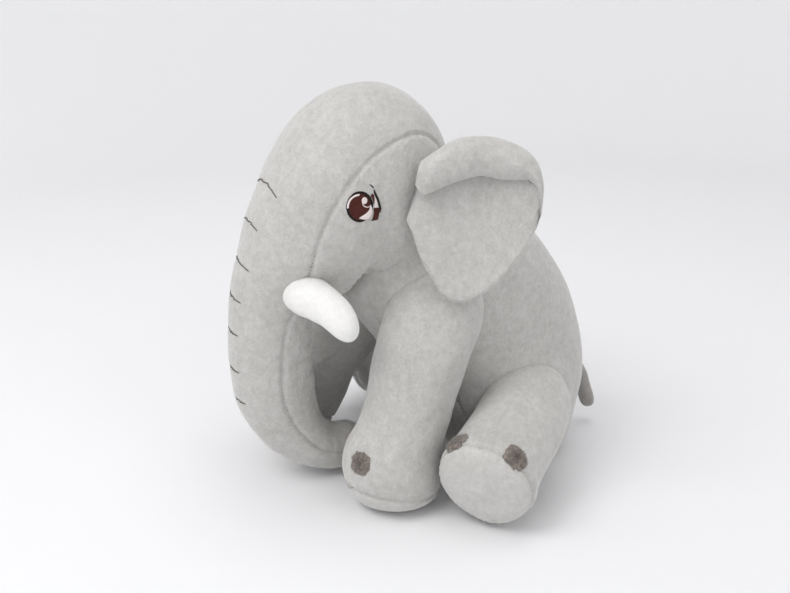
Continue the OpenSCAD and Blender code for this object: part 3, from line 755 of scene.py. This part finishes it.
# Seams of a leg: [pair, sole row, sole depth, sole pucker, then for each long seam its first row,
# depth, width and pucker]
LEG_SEAMS = (("front", FRONT_SOLE_ROW, 1.5, 0.35, (6, 0.7, 1.3, 0.2), (5, 0.9, 1.4, 0.25)),
             ("hind", HIND_SOLE_ROW, 1.6, 0.4, (5, 1.0, 1.4, 0.3), (5, 0.8, 1.4, 0.2)))
for side in ("left", "right"):
    for pair, sole_row, deep, sole_pucker, *seams in LEG_SEAMS:
        S = skins[pair + "_" + side]
        ring = FOOT_SEAMS[pair + "_" + side] = S.ring(sole_row)
        S.press(np.vstack([S.p[ring], S.p[ring][:1]]), deep, 1.4, sole_pucker)
        for k, (first, *how) in enumerate(seams):
            S.press(S.seam(k, first, sole_row), *how)
    for start, end, a, b in THIGH_FOLDS:
        t = np.linspace(0, 1, 18)
        line = [S.p[S.ring(start + (end - start) * q), int(round(a + (b - a) * q))] for q in t]
        S.press(smoothed(np.array(line)), 1.6, 2.6, taper=True)


def pad(obj):
    return obj


S = skins["body"]
N = S.normals()
skin = tube_piece("body_skin", S.p, N, 0, len(S.s) - 1, PLUSH, close=(True, True))
pad(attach(skin, "body"))
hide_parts("body_panel_left", "body_panel_right", "chest_panel", "seat_panel",
            "body_stuffing")

S = skins["head"]
N_HEAD = S.normals()
ROOT_RING, MID_RING = S.ring(15.0), S.ring(18.0)


skin = tube_piece("head_skin", S.p, N_HEAD, 0, ROOT_RING, PLUSH, close=(True, False))
pad(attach(skin, "head"))
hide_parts("forehead_panel", "cheek_panel_left", "cheek_panel_right", "chin_panel",
            "head_stuffing")

skin = tube_piece("trunk_upper_skin", S.p, N_HEAD, ROOT_RING, MID_RING, PLUSH)
pad(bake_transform(skin))
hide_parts("trunk_upper_front", "trunk_upper_underside", "trunk_upper_stuffing")
skin = tube_piece("trunk_lower_skin", S.p, N_HEAD, MID_RING, len(S.s) - 1, PLUSH,
                  close=(False, True))
pad(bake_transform(skin))
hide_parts("trunk_lower_front", "trunk_lower_underside", "trunk_lower_stuffing",
            "trunk_tip_patch")


def leg_pieces(pair, side):
    """The leg's skin, and its sole, which is attached to the leg."""
    S = skins[pair + "_" + side]
    N = S.normals()
    seam = FOOT_SEAMS[pair + "_" + side]
    body_name = f"{pair}_leg_{side}"
    skin = tube_piece(body_name + "_skin", S.p, N, 0, seam, PLUSH, close=(True, False))
    pad(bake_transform(skin))
    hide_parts(body_name + "_outer_panel", body_name + "_inner_panel",
                body_name + "_stuffing")
    sole = tube_piece(body_name + "_sole_skin", S.p, N, seam, len(S.s) - 1, SOLE,
                      close=(False, True))
    pad(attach(sole, body_name))
    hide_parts(body_name + "_sole")


for side, sign in (("left", 1), ("right", -1)):
    leg_pieces("front", side)
    leg_pieces("hind", side)

    S = skins["tusk_" + side]
    skin = tube_piece("tusk_" + side + "_skin", S.p, S.normals(), 0, len(S.s) - 1, IVORY,
                      close=(True, True))
    pad(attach(skin, "head"))
    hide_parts("tusk_" + side + "_cover", "tusk_" + side + "_stuffing")

S = skins["tail"]
skin = tube_piece("tail_skin", S.p, S.normals(), 0, len(S.s) - 1, TAIL_M, close=(True, True))
pad(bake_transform(skin))
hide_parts("tail_cover", "tail_stuffing")

# ---------------------------------------------------------------- ears
EAR_YAW, EAR_TILT = math.radians(27), math.radians(15.7)
EAR_U = np.array([0, math.sin(EAR_TILT), math.cos(EAR_TILT)])
EAR_V = np.array([math.sin(EAR_YAW), math.cos(EAR_YAW), 0])
EAR_V = EAR_V - (EAR_V @ EAR_U) * EAR_U
EAR_V /= np.linalg.norm(EAR_V)
EAR_W = np.cross(EAR_V, EAR_U)
# Columns out from the root: [v, lowest u, highest u, flap length, share of full thickness]
EAR_ROWS = np.array([
    (-9, -12, 22, 8, 0.25), (-3, -19, 27, 15, 0.8), (4, -30, 34.5, 17, 0.95),
    (14, -41, 39.5, 14.5, 1), (24, -49.5, 42, 12, 1), (34, -49.5, 42.5, 11.5, 1),
    (43, -42.5, 41, 9, 1), (51, -30, 37, 5, 1), (57, -16, 30, 2.5, 0.95),
    (60.5, -5, 22, 1.6, 0.75), (62.6, 4, 14, 1, 0.06),
])
EAR_FOLD, EAR_FRONT, EAR_BACK = 6.2, 2.6, 3.4
EAR_STEPS = 46


def ear_loop(row):
    """One closed slice through the ear: up its front face, over the fold and down the flap's
    inside, then back along the outside."""
    v, low, high, flap, full = row
    r = EAR_FOLD * min(1.0, 0.35 + 0.65 * flap / 14)
    straight = max(high - r - low, 1.0)
    arc = math.pi * r
    total = straight + arc + flap
    q = np.linspace(0, 1, EAR_STEPS)
    d = q * total
    u = np.where(d < straight, low + d, 0.0)
    w = np.zeros_like(d)
    nu, nw = np.zeros_like(d), np.ones_like(d)
    for k, x in enumerate(d):
        if x < straight:
            # The lower part of the ear is a shallow cup, its rim turned a little forward.
            t = (x / straight - 0.45) * 2
            w[k] = 3.2 * t * t * full
            nu[k], nw[k] = -3.2 * 4 * t / straight * full, 1
        elif x < straight + arc:
            a = (x - straight) / r
            base = 3.2 * 1.21 * full
            u[k] = high - r + r * math.sin(a)
            w[k] = base + r * (1 - math.cos(a))
            nu[k], nw[k] = -math.sin(a), math.cos(a)
        else:
            x -= straight + arc
            base = 3.2 * 1.21 * full
            tuck = x / max(flap, 1)
            u[k] = high - r - x
            w[k] = base + 2 * r - 3.0 * tuck**2
            nu[k], nw[k] = -6.0 * tuck / max(flap, 4), -1
    size = np.hypot(nu, nw)
    nu, nw = nu / size, nw / size
    edge = np.minimum(q, 1 - q) * total
    round_ = np.sqrt(np.clip(1 - np.clip(1 - edge / 6.0, 0, 1) ** 2, 0, 1))
    bulge = 0.75 + 0.45 * np.sin(np.pi * q) ** 0.7
    fold = np.exp(-(((d - straight - arc / 2) / (arc * 0.6)) ** 2))
    front = EAR_FRONT * round_ * bulge * full * (1 - 0.25 * fold)
    back = EAR_BACK * round_ * bulge * full * (1 + 0.2 * fold)
    f = np.stack([u + nu * front, w + nw * front], 1)
    b = np.stack([u - nu * back, w - nw * back], 1)
    loop = np.concatenate([f, b[-2:0:-1]])
    cup = 0.0035 * (v - 24) ** 2 * (1 if v > 24 else 0.3)
    return (EAR_ROOT + v * EAR_V + loop[:, :1] * EAR_U + (loop[:, 1:] + cup) * EAR_W)


v_fine = np.concatenate([[-9, -7.5, -6], np.linspace(-4, 58, 46), [59.2, 60.3, 61.3, 62.1, 62.6]])
ear_rows = smooth(EAR_ROWS[:, 0], EAR_ROWS, v_fine)
ear_grid = np.array([ear_loop(r) for r in ear_rows])

for side, sign in (("left", 1), ("right", -1)):
    p = ear_grid * (sign, 1, 1)
    p = p + normals_of(p) * (0.7 * lumps(p, 20, 41 + sign))[..., None]
    n = normals_of(p)
    skin = tube_piece(f"ear_{side}_skin", p, n, 0, len(p) - 1, PLUSH, close=(True, True))
    out = EAR_V * (sign, 1, 1)
    pad(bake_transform(skin))
    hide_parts(f"ear_{side}_back", f"ear_{side}_lining")

# ---------------------------------------------------------------- eyes
HEAD_TREE, HEAD_SIDE = skins["head"].tree()
EYE_LOW, EYE_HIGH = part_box("eye_left")
EYE_C = np.array((EYE_LOW + EYE_HIGH) / 2) / MM
EYE_R = 8.4


def drape(points, centre, u, v, out, tree, heights):
    """Lays flat shape points on a skin along a direction; heights stand off along it."""
    verts = []
    for (a, b), h in zip(points, heights):
        start = centre + u * a + v * b + out * 25
        hit = tree.ray_cast(Vector(start), Vector(-out))[0]
        spot = np.array(hit) if hit is not None else centre + u * a + v * b
        verts.append(spot + out * h)
    return verts


def strip(name, left, right, base, rise, material, frame_, tree, steps=40, cross=8, scale=EYE_R):
    """A raised band of thread between two curves drawn on the eye's plane, in eye radii."""
    q = np.linspace(0, 1, steps)
    a = smooth(np.linspace(0, 1, len(left)), np.array(left, float), q)
    b = smooth(np.linspace(0, 1, len(right)), np.array(right, float), q)
    t = np.linspace(0, 1, cross + 1)
    pts = (a[:, None] * (1 - t)[None, :, None] + b[:, None] * t[None, :, None]) * scale
    wide = np.linalg.norm(a - b, axis=1) * scale
    dome = np.clip(1 - np.abs(2 * t - 1) ** 5, 0, 1)[None]
    ends_ = np.clip(wide / 1.2, 0.25, 1)[:, None]
    h = base + rise * dome * ends_ - 0.35 * (dome < 0.01)
    flat, hs = pts.reshape(-1, 2), h.reshape(-1)
    verts = drape(flat, *frame_, tree, hs)
    c = cross + 1
    faces = [(i * c + j, i * c + j + 1, (i + 1) * c + j + 1, (i + 1) * c + j)
             for i in range(steps - 1) for j in range(cross)]
    obj = make(name, verts, faces, material)
    return obj


def arc_points(r, a0, a1, n=9, cx=0.0, cy_=0.0, ry=1.0):
    a = np.radians(np.linspace(a0, a1, n))
    return [(cx + r * math.cos(x), cy_ + r * ry * math.sin(x)) for x in a]


def eye_shapes():
    """Each embroidered shape: name, two edge curves, base height, rise, material."""
    yield ("outline", arc_points(1.0, 90, 270, 13, ry=1.05), arc_points(1.0, 90, -90, 13, ry=1.05),
           0.15, 0.45, BLACK_THREAD)
    yield ("iris", arc_points(0.86, 90, 270, 13, -0.01, 0.0, 1.04),
           arc_points(0.86, 90, -90, 13, -0.01, 0.0, 1.04), 0.5, 0.3, BROWN_THREAD)
    yield ("glint_left", arc_points(0.90, 92, 182, 9), arc_points(0.74, 92, 182, 9, -0.02, 0.02),
           0.75, 0.3, WHITE_THREAD)
    yield ("glint_dot", arc_points(0.23, 90, 270, 9, 0.30, 0.42),
           arc_points(0.23, 90, -90, 9, 0.30, 0.42), 0.75, 0.4, WHITE_THREAD)
    yield ("glint_tail", [(0.12, 0.34), (0.16, 0.12), (0.30, -0.02), (0.52, -0.08), (0.70, -0.02)],
           [(0.20, 0.32), (0.22, 0.16), (0.34, 0.05), (0.52, -0.01), (0.68, 0.02)],
           0.75, 0.25, WHITE_THREAD)
    yield ("crescent", [(0.72, 0.12), (0.86, -0.22), (0.82, -0.56), (0.62, -0.84), (0.28, -0.90),
                        (-0.10, -0.76)],
           [(0.70, 0.10), (0.62, -0.20), (0.46, -0.38), (0.26, -0.50), (0.08, -0.60),
            (-0.08, -0.73)], 0.75, 0.4, WHITE_THREAD)
    yield ("lash_top", [(0.70, 1.46), (0.88, 1.38), (1.00, 1.22)],
           [(0.70, 1.40), (0.84, 1.28), (0.96, 1.16)], 0.1, 0.5, BLACK_THREAD)
    yield ("lash", [(1.02, 1.12), (1.16, 0.82), (1.34, 0.42), (1.44, 0.05), (1.52, -0.22),
                    (1.44, -0.52)],
           [(0.96, 1.06), (1.02, 0.72), (1.20, 0.32), (1.28, 0.0), (1.34, -0.24), (1.34, -0.50)],
           0.1, 0.5, BLACK_THREAD)
    yield ("lid_pale", [(1.06, 0.66), (1.20, 0.34), (1.28, 0.0), (1.30, -0.16)],
           [(0.98, 0.60), (0.98, 0.34), (1.00, 0.0), (1.02, -0.14)], 0.05, 0.3, WHITE_THREAD)
    yield ("lid_upper", [(0.84, 0.82), (0.98, 0.74), (1.03, 0.44), (0.98, 0.12)],
           [(0.74, 0.70), (0.80, 0.56), (0.90, 0.36), (0.94, 0.12)], 0.3, 0.35, BROWN_THREAD)
    yield ("lid_lower", [(0.98, -0.16), (1.40, -0.20), (1.38, -0.60), (1.30, -1.00)],
           [(0.94, -0.20), (0.94, -0.50), (0.86, -0.86), (0.76, -1.04)], 0.1, 0.45, BROWN_THREAD)


for side, sign in (("left", 1), ("right", -1)):
    centre = EYE_C * (sign, 1, 1)
    out = np.array([sign * 1.0, -0.12, 0.04])
    out /= np.linalg.norm(out)
    u = np.cross((0, 0, 1.0), out) * sign
    u /= np.linalg.norm(u)
    v = np.cross(out, u) * sign
    first = None
    for name, a, b, base, rise, mat in eye_shapes():
        obj = strip(f"eye_{side}_{name}", a, b, base, rise, mat, (centre, u, v, out), HEAD_TREE)
        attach(obj, "head")
        if first is None:
            first = obj
            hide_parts("eye_" + side)

# ---------------------------------------------------------------- toenail patches
HAIRS = 700


def fur_patch(name, tree, centre, u, v, out, ru, rv, seed, square=2.3):
    """A rounded patch of long pile sewn on a foot: a draped disc with a tufted surface."""
    rings, around = 26, 64
    pts, hs = [(0.0, 0.0)], [1.25]
    for i in range(1, rings + 1):
        t = i / rings
        for j in range(around):
            a = 2 * math.pi * j / around
            c, s_ = math.cos(a), math.sin(a)
            sup = (abs(c) ** square + abs(s_) ** square) ** (-1 / square)
            edge = 1 + 0.16 * noise.noise(Vector((2.2 * c, 2.2 * s_, seed)))
            edge += 0.07 * noise.noise(Vector((9 * c, 9 * s_, seed + 3)))
            r = t * sup * edge
            x, y = r * c * ru, r * s_ * rv
            tuft = 0.45 * noise.noise(Vector((x * 1.1, y * 1.1, seed + 5)))
            tuft += 0.35 * noise.noise(Vector((x * 2.6, y * 2.6, seed + 9)))
            pts.append((x, y))
            hs.append(1.25 * (1 - t**5) - 0.5 * (t > 0.99) + tuft * (1 - t**6))
    verts = []
    for (x, y), h in zip(pts, hs):
        q = centre + u * x + v * y
        spot, normal, _, _ = tree.find_nearest(Vector(q))
        normal = np.array(normal)
        if normal @ out < 0:
            normal = -normal
        verts.append(np.array(spot) + normal * h)
    faces = disc_faces(rings - 1, around)
    # Single hairs stand out all over the patch and past its edge.
    rng = np.random.default_rng(abs(seed) + 7)
    for _ in range(HAIRS):
        k = int(rng.integers(1, len(pts)))
        foot_, lean_ = np.array(verts[k]), rng.normal(0, 0.45, 2)
        way = out + u * lean_[0] + v * (lean_[1] - 0.35)
        way /= np.linalg.norm(way)
        across_ = np.cross(way, u)
        base = len(verts)
        root = foot_ - way * 0.5
        verts += [root + across_ * 0.16, root + u * 0.14, root - across_ * 0.16,
                  foot_ + way * rng.uniform(0.7, 1.5)]
        faces += [(base, base + 1, base + 3), (base + 1, base + 2, base + 3),
                  (base + 2, base, base + 3)]
    return make(name, verts, faces, NAIL)


def patch_frame(angle, up, side_, axis):
    """Outward, around and along directions at an angle on a leg."""
    a = math.radians(angle)
    out = up * math.cos(a) + side_ * math.sin(a)
    return out, np.cross(axis, out), axis


FRONT_NAILS = ((27, 8.0, 8.2), (-45, 8.0, 8.2))
HIND_NAILS = ((40, 7.8, 8.6), (-38, 9.6, 7.4))


def leg_nails(pair, side, nails, axes, foot, reach, seed):
    """Sews a leg's patches on. Nails: [angle round the foot, half width, half height]."""
    tree = skins[pair + "_" + side].tree()[0]
    first = None
    for k, (angle, ru, rv) in enumerate(nails):
        out, u, v = patch_frame(angle, *axes)
        obj = fur_patch(f"{pair}_leg_{side}_toenail_{k}", tree, foot + out * reach, u, v, out,
                        ru, rv, 3 * k + seed)
        pad(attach(obj, f"{pair}_leg_{side}"))
        first = first or obj
    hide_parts(f"{pair}_leg_{side}_toenails")


for side, sign in (("left", 1), ("right", -1)):
    S = skins["front_" + side]
    turn = turn_right if sign == -1 else np.asarray
    leg_nails("front", side, FRONT_NAILS, [turn(v) for v in ((0, -1.0, 0), (sign, 0, 0), (0, 0, 1.0))],
              S.p[S.ring(8.0)].mean(0), 32, sign)
    flip = np.array([sign, 1, 1])
    leg_nails("hind", side, HIND_NAILS, (HIND_U * flip, HIND_S * flip, HIND_N * flip),
              (SOLE_C - HIND_N * 5) * flip, 31, sign + 20)

# ---------------------------------------------------------------- thread
def seam_thread(name, skin_name, j, first, last, mat, **how):
    S = skins[skin_name]
    a, b = S.ring(first), S.ring(last)
    return stitches(name, S.p[a:b + 1, j], S.normals()[a:b + 1, j], mat, **how)


def ring_thread(name, skin_name, ring, mat, **how):
    S = skins[skin_name]
    line, out = S.p[ring], S.normals()[ring]
    line, out = np.vstack([line, line[:1]]), np.vstack([out, out[:1]])
    return stitches(name, line, out, mat, **how)


S = skins["head"]
for k, (row_, line) in enumerate(zip(WRINKLE_ROWS, wrinkles)):
    hits = [HEAD_TREE.find_nearest(Vector(q)) for q in line]
    at = np.array([h[0] for h in hits])
    out = HEAD_SIDE * np.array([h[1] for h in hits])
    obj = stitches(f"wrinkle_thread_{k}", at, out, THREAD, pitch=2.0, length=2.1, thick=0.3)
    if row_ < 15:
        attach(obj, "head")
    elif row_ < 18:
        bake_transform(obj)
    else:
        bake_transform(obj)

for side, sign in (("left", 1), ("right", -1)):
    k = 1 if sign == 1 else 0
    j = S.column(k)
    obj = seam_thread(f"brow_thread_{side}", "head", j, 12.2, 14.9, THREAD, pitch=2.6, length=1.5)
    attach(obj, "head")
    obj = seam_thread(f"trunk_thread_{side}", "head", j, 18.4, 21.5, THREAD, pitch=2.2,
                      length=1.2, thick=0.22)
    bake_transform(obj)
    k = 1 if sign == 1 else 2
    obj = seam_thread(f"chest_thread_{side}", "body", skins["body"].column(k), 6, 9.5, THREAD,
                      pitch=2.6, length=1.5)
    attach(obj, "body")
    for pair in ("front", "hind"):
        skin_name = pair + "_" + side
        obj = ring_thread(f"{pair}_sole_thread_{side}", skin_name, FOOT_SEAMS[skin_name],
                          PALE_THREAD, pitch=2.3, length=1.4)
        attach(obj, f"{pair}_leg_{side}")

# ---------------------------------------------------------------- floor, light and camera
def simple(name, colour, rough=0.8):
    m = bpy.data.materials.new(name)
    m.use_nodes = True
    b = m.node_tree.nodes["Principled BSDF"]
    b.inputs["Base Color"].default_value = (*colour, 1)
    b.inputs["Roughness"].default_value = rough
    return m


def backdrop():
    """A plain pale sweep: floor, a soft bend and a far wall, seen from every side."""
    inner, bend, outer, wall = 0.9, 0.5, 1.4, 2.4
    profile = [(0.0, 0.0), (inner, 0.0)]
    profile += [(inner + bend * math.sin(a), bend * (1 - math.cos(a)))
                for a in np.radians(np.linspace(6, 90, 14))]
    profile += [(outer, wall)]
    around = 96
    verts = [(0, 0, 0)]
    for r, z in profile[1:]:
        for j in range(around):
            a = 2 * math.pi * j / around
            verts.append((r * math.cos(a), r * math.sin(a), z))
    faces = disc_faces(len(profile) - 2, around)
    mesh = bpy.data.meshes.new("backdrop")
    mesh.from_pydata(verts, [], faces)
    mesh.polygons.foreach_set("use_smooth", [True] * len(mesh.polygons))
    obj = placed("backdrop", mesh)
    mesh.materials.append(simple("backdrop_paper", (0.90, 0.90, 0.91)))
    return obj


backdrop()


def lamp(name, at, target, size, power, colour=(1, 1, 1)):
    data = bpy.data.lights.new(name, "AREA")
    data.shape, data.size, data.energy, data.color = "DISK", size, power, colour
    obj = bpy.data.objects.new(name, data)
    bpy.context.scene.collection.objects.link(obj)
    obj.location = at
    obj.rotation_euler = (Vector(target) - Vector(at)).to_track_quat("-Z", "Y").to_euler()
    return obj


TARGET = Vector((0, -0.082, 0.115))
lamp("key", (0.3, -1.0, 1.35), TARGET, 0.9, 9)
lamp("fill", (1.3, 0.3, 0.9), TARGET, 1.0, 2.2)
lamp("top", (0.0, 0.1, 1.7), TARGET, 1.1, 5.5)
world = bpy.data.worlds.new("studio")
world.use_nodes = True
world.node_tree.nodes["Background"].inputs["Color"].default_value = (1, 1, 1, 1)
world.node_tree.nodes["Background"].inputs["Strength"].default_value = 0.4
bpy.context.scene.world = world

AZ, EL, FAR, LENS = math.radians(69), math.radians(20), 0.650, 46.5
back = Vector((math.sin(AZ) * math.cos(EL), -math.cos(AZ) * math.cos(EL), math.sin(EL)))
camera = placed("camera", bpy.data.cameras.new("camera"))
camera.location = TARGET + back * FAR
camera.rotation_euler = (-back).to_track_quat("-Z", "Y").to_euler()
camera.data.lens = LENS
camera.data.sensor_width = 36
bpy.context.scene.camera = camera
bpy.context.scene.view_settings.view_transform = "Standard"
